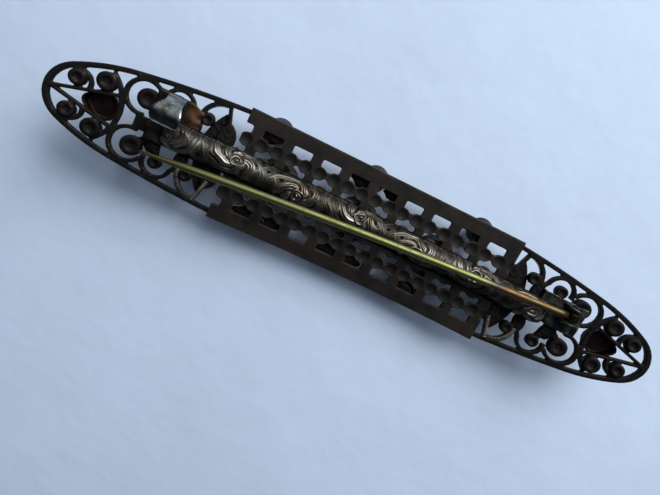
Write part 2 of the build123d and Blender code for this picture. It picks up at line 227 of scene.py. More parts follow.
def fused(piece, extras, grain_mm, rounds, factor=0.5):
    """Joins soldered shapes to a piece and rounds it all over, as casting, solder and wear do."""
    joined([piece, *extras])
    larger = 100
    piece.data.transform(Matrix.Scale(larger, 4))
    remesh = piece.modifiers.new("fuse", "REMESH")
    remesh.mode = "VOXEL"
    remesh.voxel_size = grain_mm * MM * larger
    bpy.ops.object.modifier_apply(modifier="fuse")
    if rounds:
        wear = piece.modifiers.new("wear", "SMOOTH")
        wear.factor = factor
        wear.iterations = rounds
        bpy.ops.object.modifier_apply(modifier="wear")
    piece.data.transform(Matrix.Scale(1 / larger, 4))
    bpy.ops.object.shade_smooth()
    return piece


def marked(piece, name, values):
    """Stores one value for each vertex, for the material to read."""
    mark = piece.data.attributes.new(name, "FLOAT", "POINT")
    mark.data.foreach_set("value", values)


def roughened(piece, amount_mm, size_mm):
    """Makes a piece uneven, as solder and handwork do, by lumps of about that size."""
    vertices = piece.data.vertices
    lumps = [vertex.normal * noise.noise(vertex.co * per_metre(size_mm)) for vertex in vertices]
    for vertex, lump in zip(vertices, lumps):
        vertex.co += lump * (amount_mm * MM)
    return piece


def dished(piece, sink_mm):
    """Pushes a gallery's beads out to the front, dished in behind, and marks the dishes with painted shade for the
    material.
    """
    first, spacing, across, radius = BEAD_CHAIN
    painted_shade_marks = []
    for vertex in piece.data.vertices:
        x, y = vertex.co.x / MM, vertex.co.y / MM
        bead_x = first + spacing * round((x - first) / spacing)
        near = math.hypot(x - bead_x, abs(y) - across)
        share = max(0.0, 1 - (near / radius) ** 2)
        vertex.co.z -= sink_mm * share * MM
        # Painted shade: the material darkens the dished beads by this mark.
        painted_shade_marks.append(0.75 * min(1.0, 2 * share))
    marked(piece, "hollow", painted_shade_marks)
    return piece


def finished(piece, body, material, slot, *nodes):
    """Gives a piece its metal or glass and its place in the assembly."""
    piece.data.materials.clear()
    piece.data.materials.append(material)
    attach(piece, body)
    if nodes:
        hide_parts(*nodes)
    return piece


def on_bow(level, x, y, turn=0.0, face=1):
    """Where a shape drawn flat goes on the bow: its up points to the pin's back, or to its front for face -1."""
    reach = BOW_RADIUS - level
    lean = math.asin(x / reach)
    height = AXIS_Z - reach * math.cos(lean)
    place = Matrix.Translation((x * MM, y * MM, height * MM))
    over = Matrix.Rotation(math.pi if face < 0 else 0, 4, "X")
    return place @ Matrix.Rotation(-lean, 4, "Y") @ over @ Matrix.Rotation(turn, 4, "Z")


# ---- materials ----


def fill(tree, node, inputs):
    """Sets a node's inputs, or links them where the value is another node's output."""
    for name, value in inputs.items():
        socket = node.inputs[name]
        if isinstance(value, bpy.types.NodeSocket):
            tree.links.new(value, socket)
        elif socket.type == "RGBA":
            socket.default_value = (*value[:3], 1)
        else:
            socket.default_value = value


def add_node(tree, kind, settings=None, inputs=None, stops=None):
    """Adds one node, sets its options, fills its sockets, and lays out a ramp's stops."""
    made = tree.nodes.new("ShaderNode" + kind)
    for name, value in (settings or {}).items():
        setattr(made, name, value)
    fill(tree, made, inputs or {})
    for index, (place, colour) in enumerate(stops or []):
        ramp = made.color_ramp.elements
        stop = ramp[index] if index < 2 else ramp.new(place)
        stop.position = place
        stop.color = (*colour[:3], 1)
    return made


def new_material(name):
    """An empty material with its shader, and the object coordinates that its patterns read."""
    material = bpy.data.materials.new(name)
    material.use_nodes = True
    tree = material.node_tree
    shader = tree.nodes["Principled BSDF"]
    place = add_node(tree, "TexCoord").outputs["Object"]
    return material, tree, shader, place


def end_metal(tree, shader, colour, film, span, rough, relief, strength, depth_mm, metallic):
    """Gives a metal its colour, a roughness that follows the film over that span, and its fine relief."""
    gloss = add_node(tree, "MapRange", {}, {
        "Value": film, "From Min": span[0], "From Max": span[1], "To Min": rough[0], "To Max": rough[1]})
    dents = add_node(tree, "Bump", {}, {"Height": relief, "Strength": strength, "Distance": depth_mm * MM})
    fill(tree, shader, {"Base Color": colour, "Roughness": gloss.outputs["Result"],
                        "Normal": dents.outputs["Normal"], "Metallic": metallic})


# Metals under a patina: colours of hollows (patina there, and painted shade in corners), face and rubbed edges,
# sizes of patches and specks in mm, roughness, metallic, pointiness over which an edge is rubbed, and depth of
# dents in mm.
EDGES = (0.52, 0.6)
METALS = {
    # Blackened with liver of sulphur: near black, dull, brown where it has rubbed.
    "blackened_stamped_brass": ("soot", "patina", "rubbed_brass", 2.5, 0.3, (0.48, 0.72), 0.75, EDGES, 0.02),
    # A dull brown oxide film: matt, speckled, with thin bright edges.
    "oxidised_pierced_brass": (
        "soot", "brown_film", "rubbed_brass", 3.0, 0.22, (0.5, 0.75), 0.55, (0.5, 0.58), 0.02),
    # Spun cups under old grime: dark, with a brassy glow inside the rims.
    "grimy_spun_brass": ("soot", "patina", "gold_edge", 1.8, 0.25, (0.35, 0.55), 0.8, EDGES, 0.02),
    # A red-brown oxide: dark, warm and a little glossy.
    "oxidised_dished_copper": ("soot", "copper", "copper_bright", 1.5, 0.3, (0.3, 0.5), 0.8, EDGES, 0.02),
    # Bent strip, rubbed bright by the pin: a soft mirror with fine scratches and grey stains.
    "rubbed_nickel_silver": (
        "nickel_grey", "nickel", "nickel_bright", 1.2, 0.16, (0.14, 0.24), 1.0, (0.56, 0.7), 0.003),
    # Thin sheet stained by the torch: black and orange-brown in patches, with a dull sheen.
    "torch_stained_brass": ("soot", "stain", "wire_orange", 2.2, 0.4, (0.45, 0.7), 0.5, EDGES, 0.02),
    # Wire ribbed by a milling wheel: black in its grooves and rubbed pale on its ribs.
    "blackened_milled_wire": ("soot", "rubbed_brass", "silver", 1.2, 0.2, (0.3, 0.5), 0.85, EDGES, 0.02),
    # Tin and lead gone grey: lumpy, satin, darker in its hollows.
    "grey_tin_solder": ("soot", "solder", "nickel", 1.3, 0.3, (0.35, 0.6), 0.85, EDGES, 0.03),
    # Turned eye, brown with old oil: darker than the wire, and satin.
    "oiled_turned_brass": ("soot", "brown_film", "wire", 1.0, 0.3, (0.3, 0.5), 0.9, EDGES, 0.02),
}


def old_metal(name, colours):
    """One of the metals, its patina patchy and specked and thin on its edges, with painted shade in its corners and
    where the mesh marks it.
    """
    deep, face, worn = (getattr(colours, tone) for tone in METALS[name][:3])
    patch_mm, speck_mm, rough, metallic, wear, dent_mm = METALS[name][3:]
    material, tree, shader, place = new_material(name)
    patch = add_node(tree, "TexNoise", {}, {
        "Vector": place, "Scale": per_metre(patch_mm), "Detail": 4.0, "Roughness": 0.6}).outputs["Fac"]
    speck = add_node(tree, "TexNoise", {}, {
        "Vector": place, "Scale": per_metre(speck_mm), "Detail": 3.0, "Roughness": 0.7}).outputs["Fac"]
    tone = add_node(tree, "ValToRGB", {}, {"Fac": patch},
                    [(0.35, deep), (0.68, face)])
    dust = add_node(tree, "ValToRGB", {}, {"Fac": speck},
                    [(0.58, (0, 0, 0)), (0.8, (0.3, 0.3, 0.3))])
    specked = add_node(tree, "Mix", BLEND, {
        0: dust.outputs["Color"], 6: tone.outputs["Color"], 7: worn}).outputs[2]
    edge = add_node(tree, "NewGeometry").outputs["Pointiness"]
    rubbed = add_node(tree, "ValToRGB", {}, {"Fac": edge},
                      [(wear[0], (0, 0, 0)), (wear[1], (1, 1, 1))])
    # Painted shade: where pointiness is low, in corners and creases, the colour turns to the deep tone.
    sunk = add_node(tree, "ValToRGB", {}, {"Fac": edge},
                    [(0.4, (1, 1, 1)), (0.49, (0, 0, 0))])
    patchy = add_node(tree, "Math", {"operation": "MULTIPLY"},
                      {0: rubbed.outputs["Color"], 1: patch})
    on_edges = add_node(tree, "Mix", BLEND, {
        0: patchy.outputs["Value"], 6: specked, 7: worn}).outputs[2]
    with_painted_corner_shade = add_node(tree, "Mix", BLEND, {
        0: sunk.outputs["Color"], 6: on_edges, 7: deep}).outputs[2]
    # Painted shade marked on the mesh: the dished beads and the saddle under the catch turn to the deep tone.
    hollow = add_node(tree, "Attribute", {"attribute_name": "hollow"}).outputs["Fac"]
    colour = add_node(tree, "Mix", BLEND, {0: hollow, 6: with_painted_corner_shade, 7: deep}).outputs[2]
    end_metal(tree, shader, colour, speck, (0.3, 0.7), rough, speck, 0.6, dent_mm, metallic)
    return material


def chased_silver(colours):
    """Chased white metal on the bar: grey-bronze ridges rubbed bright, with painted glints on their crests and
    black left in the hollows.
    """
    material, tree, shader, place = new_material("chased_white_metal")
    ridge = add_node(tree, "Attribute", {"attribute_name": "ridge"}).outputs["Fac"]
    patch = add_node(tree, "TexNoise", {}, {
        "Vector": place, "Scale": per_metre(3.2), "Detail": 4.0, "Roughness": 0.6}).outputs["Fac"]
    speck = add_node(tree, "TexNoise", {}, {
        "Vector": place, "Scale": per_metre(0.2), "Detail": 3.0, "Roughness": 0.7}).outputs["Fac"]
    tinge = add_node(tree, "ValToRGB", {}, {"Fac": patch},
                     [(0.38, colours.bronze), (0.62, colours.silver)])
    lifted = add_node(tree, "Math", {"operation": "MULTIPLY_ADD"},
                      {0: speck, 1: 0.35, 2: ridge}).outputs["Value"]
    height = add_node(tree, "ValToRGB", {}, {"Fac": lifted},
                      [(0.4, (0, 0, 0)), (0.95, (1, 1, 1))])
    body = add_node(tree, "Mix", BLEND, {
        0: height.outputs["Color"], 6: colours.soot, 7: tinge.outputs["Color"]}).outputs[2]
    # Partly painted highlight: the crests get bright glints on top of their rubbed wear.
    crest = add_node(tree, "ValToRGB", {}, {"Fac": lifted},
                     [(1.0, (0, 0, 0)), (1.3, (0.7, 0.7, 0.7))])
    colour = add_node(tree, "Mix", BLEND, {
        0: crest.outputs["Color"], 6: body, 7: colours.silver_bright_and_glint}).outputs[2]
    end_metal(tree, shader, colour, lifted, (0.3, 1.2), (0.62, 0.24), speck, 0.5, 0.012, 0.92)
    return material


def drawn_brass(colours):
    """Hard-drawn brass wire: yellow-green, bright along its length, with fine lines left by the drawplate."""
    material, tree, shader, place = new_material("hard_drawn_brass")
    along = add_node(tree, "Mapping", {"vector_type": "TEXTURE"}, {
        "Vector": place, "Rotation": (0, 0, math.radians(PIN_SWING)), "Scale": (25, 1, 1)})
    lines = add_node(tree, "TexNoise", {}, {
        "Vector": along.outputs["Vector"], "Scale": per_metre(0.3), "Detail": 1.0}).outputs["Fac"]
    stain = add_node(tree, "TexNoise", {}, {
        "Vector": place, "Scale": per_metre(1.6), "Detail": 4.0, "Roughness": 0.65}).outputs["Fac"]
    x = add_node(tree, "SeparateXYZ", {}, {"Vector": place}).outputs["X"]
    low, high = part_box("pin_stem")
    length = add_node(tree, "MapRange", {}, {"Value": x, "From Min": low.x, "From Max": high.x})
    # Painted reflection: the short grey band at 0.82 along the wire.
    hue = add_node(tree, "ValToRGB", {}, {"Fac": length.outputs["Result"]},
                   [(0.0, colours.wire_dull), (0.2, colours.wire), (0.79, colours.wire), (0.82, colours.solder),
                    (0.85, colours.wire_orange), (0.99, colours.wire_dull)])
    film = add_node(tree, "ValToRGB", {}, {"Fac": stain},
                    [(0.5, (0, 0, 0)), (0.72, (0.7, 0.7, 0.7))])
    colour = add_node(tree, "Mix", BLEND, {
        0: film.outputs["Color"], 6: hue.outputs["Color"], 7: colours.wire_dull}).outputs[2]
    end_metal(tree, shader, colour, stain, (0.35, 0.7), (0.42, 0.6), lines, 0.2, 0.01, 1.0)
    return material


def lead_glass(colours):
    """Cut lead glass paste: clear, faintly grey-green, with a film of grime on its facets."""
    material, tree, shader, place = new_material("cut_lead_glass")
    film = add_node(tree, "TexNoise", {}, {
        "Vector": place, "Scale": per_metre(1.1), "Detail": 5.0, "Roughness": 0.65}).outputs["Fac"]
    tint = add_node(tree, "ValToRGB", {}, {"Fac": film},
                    [(0.4, colours.glass), (0.72, colours.glass_grime)])
    haze = add_node(tree, "MapRange", {}, {
        "Value": film, "From Min": 0.4, "From Max": 0.7, "To Min": 0.03, "To Max": 0.3})
    fill(tree, shader, {"Base Color": tint.outputs["Color"], "Roughness": haze.outputs["Result"],
                        "Transmission Weight": 0.75, "IOR": 1.62})
    return material


def matt_paper(colours):
    """White drawing paper: quite matt, with a faint fibre and soft creases."""
    material, tree, shader, place = new_material("matt_drawing_paper")
    crease = add_node(tree, "TexNoise", {}, {
        "Vector": place, "Scale": per_metre(45), "Detail": 5.0, "Roughness": 0.55}).outputs["Fac"]
    fibre = add_node(tree, "TexNoise", {}, {
        "Vector": place, "Scale": per_metre(0.7), "Detail": 2.0}).outputs["Fac"]
    shade = add_node(tree, "ValToRGB", {}, {"Fac": crease},
                     [(0.3, [0.93 * c for c in colours.paper]), (0.7, colours.paper)])
    folds = add_node(tree, "Bump", {}, {
        "Height": crease, "Strength": 0.25, "Distance": 4 * MM})
    grain = add_node(tree, "Bump", {}, {
        "Height": fibre, "Strength": 0.1, "Distance": 0.05 * MM, "Normal": folds.outputs["Normal"]})
    fill(tree, shader, {
        "Base Color": shade.outputs["Color"], "Normal": grain.outputs["Normal"], "Roughness": 0.9})
    return material


# ---- sizes and colours that a user would change ----


def length_prop(name, description, default_mm):
    """A length setting."""
    return bpy.props.FloatProperty(
        name=name, description=description, default=default_mm * MM, min=0, unit="LENGTH", precision=5)


def swatch(name, description, code):
    """A colour setting."""
    return bpy.props.FloatVectorProperty(
        name=name, description=description, default=linear(code), size=3, min=0, max=1, subtype="COLOR")


class PinSizes(bpy.types.PropertyGroup):
    chasing_depth: length_prop("Chasing depth", "How deep the bar's scrolls are cut", 0.5)
    scroll_repeat: length_prop("Scroll repeat", "Length of one scroll of the bar's pattern", 10.0)
    terminal_rise: length_prop("Terminal rise", "Height of the scrolls' round ends", 0.28)
    milling: length_prop("Milling", "Spacing of the ribs on the milled wires", 0.32)
    claw: length_prop("Claw", "Radius of the stones' claws", 0.32)


class PinColours(bpy.types.PropertyGroup):
    # The patina's own black, also used as the painted shade in corners, dished beads and under the catch.
    soot: swatch("Soot", "Black in the hollows", "0b0a09")
    patina: swatch("Patina", "Face of the frames", "1a1613")
    brown_film: swatch("Brown film", "Oxide on the galleries", "2a211b")
    rubbed_brass: swatch("Rubbed brass", "Brass on worn edges", "524332")
    gold_edge: swatch("Gold edge", "Brassy rims of the cups", "8a6a34")
    copper: swatch("Copper", "Inside of the bosses", "2a1811")
    copper_bright: swatch("Bright copper", "Rubbed copper edges", "48291d")
    bronze: swatch("Bronze", "Warm parts of the bar", "5c5145")
    silver: swatch("Silver", "Grey parts of the bar", "7f7b71")
    # Rubbed crests of the bar, also used as painted glints.
    silver_bright_and_glint: swatch("Bright silver", "Crests of the bar's ridges", "c6c0b8")
    nickel_grey: swatch("Stained nickel", "Stains on the catch", "4e4c48")
    nickel: swatch("Nickel", "Face of the catch", "a5a39b")
    nickel_bright: swatch("Bright nickel", "Rubbed edges of the catch", "dcd9d0")
    solder: swatch("Solder", "Grey solder of the hinge", "464744")
    stain: swatch("Stain", "Torch stains beside the catch", "6a431f")
    wire: swatch("Wire", "Brass of the pin wire", "76774a")
    wire_dull: swatch("Dull wire", "Brown end of the pin wire", "62583a")
    wire_orange: swatch("Orange wire", "Heated brass near the hinge", "76583a")
    glass: swatch("Glass", "Body of the paste stones", "e4ead8")
    glass_grime: swatch("Glass grime", "Film on the facets", "98a08a")
    paper: swatch("Paper", "Sheet under the pin", "d0dff4")


# ---- pieces ----


def terminal_button(rise_mm):
    """Round terminal 1 mm in radius: a low dome with a dimple in its middle."""
    bpy.ops.mesh.primitive_cylinder_add(vertices=28, radius=MM, depth=2 * rise_mm * MM, location=(0, 0, 0))
    button = taken("terminal")
    edit(button)
    pick(button, lambda co, normal: normal.z > 0.9)
    bpy.ops.mesh.bevel(offset=0.2 * MM, segments=3, affect="EDGES")
    pick(button, lambda co, normal: normal.z > 0.9 and co.xy.length < 0.5)
    bpy.ops.mesh.inset(thickness=0.22 * MM, depth=0)
    bpy.ops.mesh.inset(thickness=0.3 * MM, depth=-0.7 * rise_mm * MM)
    done()
    return button


def leaf_rib():
    """Rib 1 mm long along X: a half-round ridge that tapers to its tip."""
    bpy.ops.mesh.primitive_cone_add(vertices=10, radius1=0.5 * MM, radius2=0.12 * MM, depth=MM,
                                    location=(0.5 * MM, 0, 0), rotation=(0, math.pi / 2, 0))
    rib = taken("rib")
    edit(rib)
    pick(rib, lambda co, normal: abs(normal.x) > 0.9)
    bpy.ops.mesh.bevel(offset=0.04 * MM, segments=2, affect="EDGES")
    done()
    return rib


def rib_between(rib, level, face, start, end, thick):
    """The rib laid on the bow from start to end, that thick."""
    run = math.hypot(end[0] - start[0], end[1] - start[1])
    turn = math.atan2(end[1] - start[1], end[0] - start[0]) * face
    size = Matrix.Diagonal((run, thick, thick, 1))
    return stamped(rib, on_bow(level, start[0], start[1], turn, face) @ size)


def leaf_pad():
    """Plump leaf 1 mm long along X and 1 mm wide, with both ends drawn out."""
    bpy.ops.mesh.primitive_uv_sphere_add(segments=16, ring_count=8, radius=0.5 * MM, location=(0.5 * MM, 0, 0))
    pad = taken("pad")
    edit(pad)
    pick(pad, lambda co, vertex: abs(co.x - 0.5) > 0.3, "verts")
    bpy.ops.transform.resize(value=(1.0, 0.55, 0.8), center_override=(0.5 * MM, 0, 0))
    done()
    return pad


def leaf_veins(rib, level, face, foot, tip, width):
    """A mid-rib and four pairs of side veins for one leaf."""
    along = Vector((tip[0] - foot[0], tip[1] - foot[1]))
    across = Vector((-along.y, along.x)).normalized() * width
    made = [rib_between(rib, level, face, foot, tip, 0.34)]
    for step in range(4):
        share = 0.15 + 0.2 * step
        start = Vector(foot) + along * share
        reach = 0.42 * math.sin(math.pi * (share + 0.12))
        for side in (1, -1):
            end = start + along * 0.2 + across * (side * reach)
            made.append(rib_between(rib, level, face, start, end, 0.2))
    return made


def end_frame(side, sizes):
    """One openwork end with its round terminals and veined leaves, on both faces."""
    name = "left" if side < 0 else "right"
    piece = node_copy(f"{name}_end_frame", f"{name}_end_openwork")
    button = terminal_button(sizes.terminal_rise / MM)
    rib = leaf_rib()
    pad = leaf_pad()
    extras = []
    foot, tip, width = RING_LEAF
    for half in (1, -1):
        run = (side * (tip[0] - foot[0]), half * (tip[1] - foot[1]))
        size = Matrix.Diagonal((math.hypot(*run), width, 0.9, 1))
        place = on_bow(FRAME_BACK / 2, side * foot[0], half * foot[1], math.atan2(run[1], run[0]))
        extras.append(stamped(pad, place @ size))
    for face, level in ((1, FRAME_BACK), (-1, 0.0)):
        for half in (1, -1):
            for x, y, radius in TERMINALS:
                size = Matrix.Diagonal((radius, radius, 1, 1))
                extras.append(stamped(button, on_bow(level, side * x, half * y, 0, face) @ size))
            for foot, tip, width in (*LEAVES, RING_LEAF):
                foot_there = (side * foot[0], half * foot[1])
                tip_there = (side * tip[0], half * tip[1])
                extras += leaf_veins(rib, level, face, foot_there, tip_there, width)
    drop(button, rib, pad)
    return fused(piece, extras, 0.098, 3)


def milling_rib():
    """One rib of a milled wire, 1 mm long across the wire, with rounded ends."""
    bpy.ops.mesh.primitive_cylinder_add(vertices=8, radius=0.13 * MM, depth=MM, location=(0, 0, 0),
                                        rotation=(math.pi / 2, 0, 0))
    rib = taken("milling")
    edit(rib)
    pick(rib, lambda co, normal: abs(normal.y) > 0.9)
    bpy.ops.mesh.bevel(offset=0.07 * MM, segments=2, affect="EDGES")
    done()
    bpy.ops.object.shade_smooth()
    return rib


def milled_edging(side, spacing_mm):
    """Ribs of the milled arcs and stays of one end."""
    name = "left" if side < 0 else "right"
    rib = milling_rib()
    ribs = []
    (cx, cy), radius, first, last = MILLED_ARC
    (x0, y0), (x1, y1) = MILLED_STAY
    arc_count = round(radius * math.radians(last - first) / spacing_mm)
    stay_count = round(math.hypot(x1 - x0, y1 - y0) / spacing_mm)
    spots = []  # of one quarter: place, turn, length
    for step in range(arc_count + 1):
        angle = math.radians(first + (last - first) * step / arc_count)
        x, y = cx + radius * math.cos(angle), cy + radius * math.sin(angle)
        spots.append((x, y, angle + math.pi / 2, ARC_RIB))
    for step in range(stay_count + 1):
        share = step / stay_count
        x, y = x0 + (x1 - x0) * share, y0 + (y1 - y0) * share
        spots.append((x, y, math.atan2(y1 - y0, x1 - x0), STAY_RIB))
    sunk = 0.02  # so that no rib only touches the wire
    for face, level, halves in ((1, FRAME_BACK - sunk, (-1,)), (-1, sunk, (1, -1))):
        for half in halves:
            for x, y, turn, long in spots:
                place = on_bow(level, side * x, half * y, side * half * face * turn, face)
                ribs.append(stamped(rib, place @ Matrix.Diagonal((1, long, 1, 1))))
    drop(rib)
    ribs[0].name = f"{name}_milled_edging"
    return joined(ribs)


class BARPIN_OT_end_frames(bpy.types.Operator):
    """Builds both openwork ends, with their terminals, veined leaves and milled wires"""

    bl_idname = "bar_pin.end_frames"
    bl_label = "Openwork ends"

    def execute(self, context):
        sizes = context.scene.bar_pin_sizes
        colours = context.scene.bar_pin_colours
        metal = old_metal("blackened_stamped_brass", colours)
        ribs_metal = old_metal("blackened_milled_wire", colours)
        for side, name in ((-1, "left"), (1, "right")):
            piece = end_frame(side, sizes)
            finished(piece, "root", metal, "blackened_brass", f"{name}_end_frame")
            edging = milled_edging(side, sizes.milling / MM)
            finished(edging, "root", ribs_metal, "blackened_brass")
        return {"FINISHED"}


class BARPIN_OT_bosses(bpy.types.Operator):
    """Builds the dished pear-shaped bosses"""

    bl_idname = "bar_pin.bosses"
    bl_label = "Dished bosses"

    def execute(self, context):
        metal = old_metal("oxidised_dished_copper", context.scene.bar_pin_colours)
        for name in ("left", "right"):
            piece = node_copy(f"{name}_boss", f"{name}_boss_dish")
            fused(piece, [], 0.07, 6)
            finished(piece, "root", metal, "copper_boss", f"{name}_boss")
        return {"FINISHED"}


def setting_leaves(name, half, leaves):
    """Plump veined leaves that lie before a gallery, between the stones' cups."""
    pad = leaf_pad()
    rib = leaf_rib()
    across = half * SETTING_LEAF_Y
    made = []
    for x, length, width in leaves:
        size = Matrix.Diagonal((length, width, 0.8, 1))
        made.append(stamped(pad, on_bow(SETTING_LEAF_LEVEL, x - length / 2, across) @ size))
        for reach in (0.48, -0.48):
            tip = (x + reach * length, across)
            made += leaf_veins(rib, SETTING_VEIN_LEVEL, -1, (x, across), tip, width)
    drop(pad, rib)
    made[0].name = name
    return fused(made[0], made[1:], 0.09, 3)


class BARPIN_OT_leaf_plates(bpy.types.Operator):
    """Builds the pointed leaf pairs and the plump leaves before the galleries"""

    bl_idname = "bar_pin.leaf_plates"
    bl_label = "Leaf pairs"

    def execute(self, context):
        metal = old_metal("blackened_stamped_brass", context.scene.bar_pin_colours)
        for name in ("left", "right"):
            low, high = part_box(f"{name}_leaf_plate")
            x = (low.x + high.x) / 2 / MM
            reach = (high.y - low.y) / 2 / MM
            width = (high.x - low.x) / MM
            piece = node_copy(f"{name}_leaf_plate", f"{name}_leaf_pair")
            rib = leaf_rib()
            extras = []
            for face, level in ((1, 0.0), (-1, -0.5)):
                for half in (1, -1):
                    foot, tip = (x, half * 0.3), (x, half * reach * 0.95)
                    extras += leaf_veins(rib, level, face, foot, tip, width)
            drop(rib)
            fused(piece, extras, 0.08, 3)
            finished(piece, "root", metal, "blackened_brass", f"{name}_leaf_plate")
        for name, half, leaves in (("lower", -1, LOWER_LEAVES), ("upper", 1, UPPER_LEAVES)):
            piece = setting_leaves(f"{name}_setting_leaves", half, leaves)
            finished(piece, "root", metal, "blackened_brass")
        return {"FINISHED"}


def grain_row(name, low_x, high_x, across):
    """A row of small grains along a gallery, pressed a little flat."""
    bpy.ops.mesh.primitive_uv_sphere_add(segments=8, ring_count=5, radius=GRAIN_RADIUS * MM, location=(0, 0, 0))
    grain = taken("grain")
    edit(grain)
    pick(grain, lambda co, vertex: co.z > 0.5 * GRAIN_RADIUS, "verts")
    bpy.ops.transform.translate(value=(0, 0, -0.12 * GRAIN_RADIUS * MM))
    done()
    bpy.ops.object.shade_smooth()
    grains = []
    for step in range(GRAIN_COUNT):
        x = low_x + (high_x - low_x) * (step + 0.5) / GRAIN_COUNT
        grains.append(stamped(grain, on_bow(FRAME_BACK, x, across)))
    drop(grain)
    grains[0].name = name
    return joined(grains)


class BARPIN_OT_galleries(bpy.types.Operator):
    """Builds the two pierced side strips with their dished beads and grains"""

    bl_idname = "bar_pin.galleries"
    bl_label = "Pierced galleries"

    def execute(self, context):
        colours = context.scene.bar_pin_colours
        metal = old_metal("oxidised_pierced_brass", colours)
        for half, name in ((1, "upper"), (-1, "lower")):
            node = f"{name}_gallery"
            low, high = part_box(node)
            piece = node_copy(node, f"{name}_gallery_strip")
            dished(fused(piece, [], 0.115, 2), BEAD_SINK)
            finished(piece, "root", metal, "brown_gallery", node)
            outer = half * max(abs(low.y), abs(high.y)) / MM
            edge = outer - half * GRAIN_INSET
            row = grain_row(f"{name}_gallery_grains", low.x / MM, high.x / MM, edge)
            finished(row, "root", metal, "brown_gallery")
        return {"FINISHED"}


def ripple(turns):
    """A smooth wave from 0 to 1 with one crest in each turn."""
    return 0.5 + 0.5 * math.cos(2 * math.pi * turns)


def smooth_share(value, low, high):
    """0 below low, 1 above high, and a smooth rise between."""
    share = min(1.0, max(0.0, (value - low) / (high - low)))
    return share * share * (3 - 2 * share)


def scroll_relief(dx, dy, hand):
    """Height from 0 to 1 round one spiral eye: a button, its coils and the veined leaves that whirl out."""
    radius = math.hypot(dx, dy)
    angle = math.atan2(dy, dx) * hand
    button = max(0.0, 1 - (radius / 0.45) ** 2) ** 0.5
    coil = ripple(radius / 0.6 - angle / (2 * math.pi))
    eye = max(button, (0.4 + 0.5 * coil) * smooth_share(radius, 0.4, 0.6))
    whirl = angle + 0.62 * radius
    lobe = abs(math.cos(2.5 * whirl)) ** 0.6
    vein = ripple(3 * 5 * whirl / (2 * math.pi))
    leaf = lobe * (0.74 + 0.26 * vein) * (1 - 0.5 * smooth_share(radius, 1.6, 5.2))
    share = smooth_share(radius, 1.05, 1.4)
    return eye * (1 - share) + leaf * share


def bar_relief(along, across, repeat):
    """Height from 0 to 1 of the chased pattern: scrolls that turn one way above and the other way below."""
    spot = Vector((0.5 * along, 0.7 * across, 3.1))
    along = along + EYE_SHIFT + WAVE_ALONG * noise.noise(spot)
    across = across + WAVE_ACROSS * noise.noise(spot + Vector((19.3, 7.7, 11.9)))
    cell = math.floor(along / repeat)
    heights = []
    for eye in (cell, cell + 1):
        hand = 1 if eye % 2 == 0 else -1
        heights.append(scroll_relief(along - eye * repeat, across - EYE_HEIGHTS[eye % 2], hand))
    return max(heights)


def chased_bar(sizes):
    """The half-round bar: a fine sheet pushed into the pattern, wrapped over the dome and closed below."""
    low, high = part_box("back_bar")
    length = (high.x - low.x) / MM
    middle_y = (low.y + high.y) / 2 / MM
    half = (high.y - low.y) / 2 / MM
    top_z = high.z / MM
    arch = (half ** 2 + BAR_RISE ** 2) / (2 * BAR_RISE)
    sweep = 2 * math.asin(half / arch)
    depth = sizes.chasing_depth / MM
    repeat = sizes.scroll_repeat / MM
    columns = round(length / BAR_CELL)
    bpy.ops.mesh.primitive_grid_add(x_subdivisions=columns, y_subdivisions=BAR_ROWS, size=1, location=(0, 0, 0))
    bar = taken("chased_back_bar")
    heights = []
    for vertex in bar.data.vertices:
        u, v = vertex.co.x + 0.5, vertex.co.y
        along = low.x / MM + u * length
        angle = v * sweep
        relief = bar_relief(along, v * sweep * arch, repeat)
        end_fade = min(1.0, min(u, 1 - u) * length / BAR_END_RUN)
        edge_fade = min(1.0, (0.5 - abs(v)) * sweep * arch / BAR_EDGE_RUN)
        lowered = depth * (1 - relief) * edge_fade + BAR_END_DROP * (1 - end_fade) ** 2
        radius = arch - lowered
        y = middle_y + radius * math.sin(angle)
        level = GALLERY_BACK + (BAR_RISE - arch) + radius * math.cos(angle)
        level = max(level, GALLERY_BACK)
        z = AXIS_Z - math.sqrt((BOW_RADIUS - level) ** 2 - along ** 2)
        vertex.co = Vector((along, y, min(z, top_z - 0.25 * lowered))) * MM
        heights.append(relief * edge_fade)
    marked(bar, "ridge", heights)
    edit(bar)
    pick(bar, lambda co, edge: edge.is_boundary and abs(co.y - middle_y) > 0.9 * half, "edges")
    bpy.ops.mesh.bridge_edge_loops()
    for end in (low.x / MM, high.x / MM):
        pick(bar, lambda co, edge: edge.is_boundary and abs(co.x - end) < 0.01, "edges")
        bpy.ops.mesh.edge_face_add()
    turned_out()
    bpy.ops.object.shade_smooth()
    return bar


class BARPIN_OT_back_bar(bpy.types.Operator):
    """Builds the chased half-round bar along the back"""

    bl_idname = "bar_pin.back_bar"
    bl_label = "Chased bar"

    def execute(self, context):
        bar = chased_bar(context.scene.bar_pin_sizes)
        finished(bar, "root", chased_silver(context.scene.bar_pin_colours), "tarnished_silver", "back_bar")
        return {"FINISHED"}


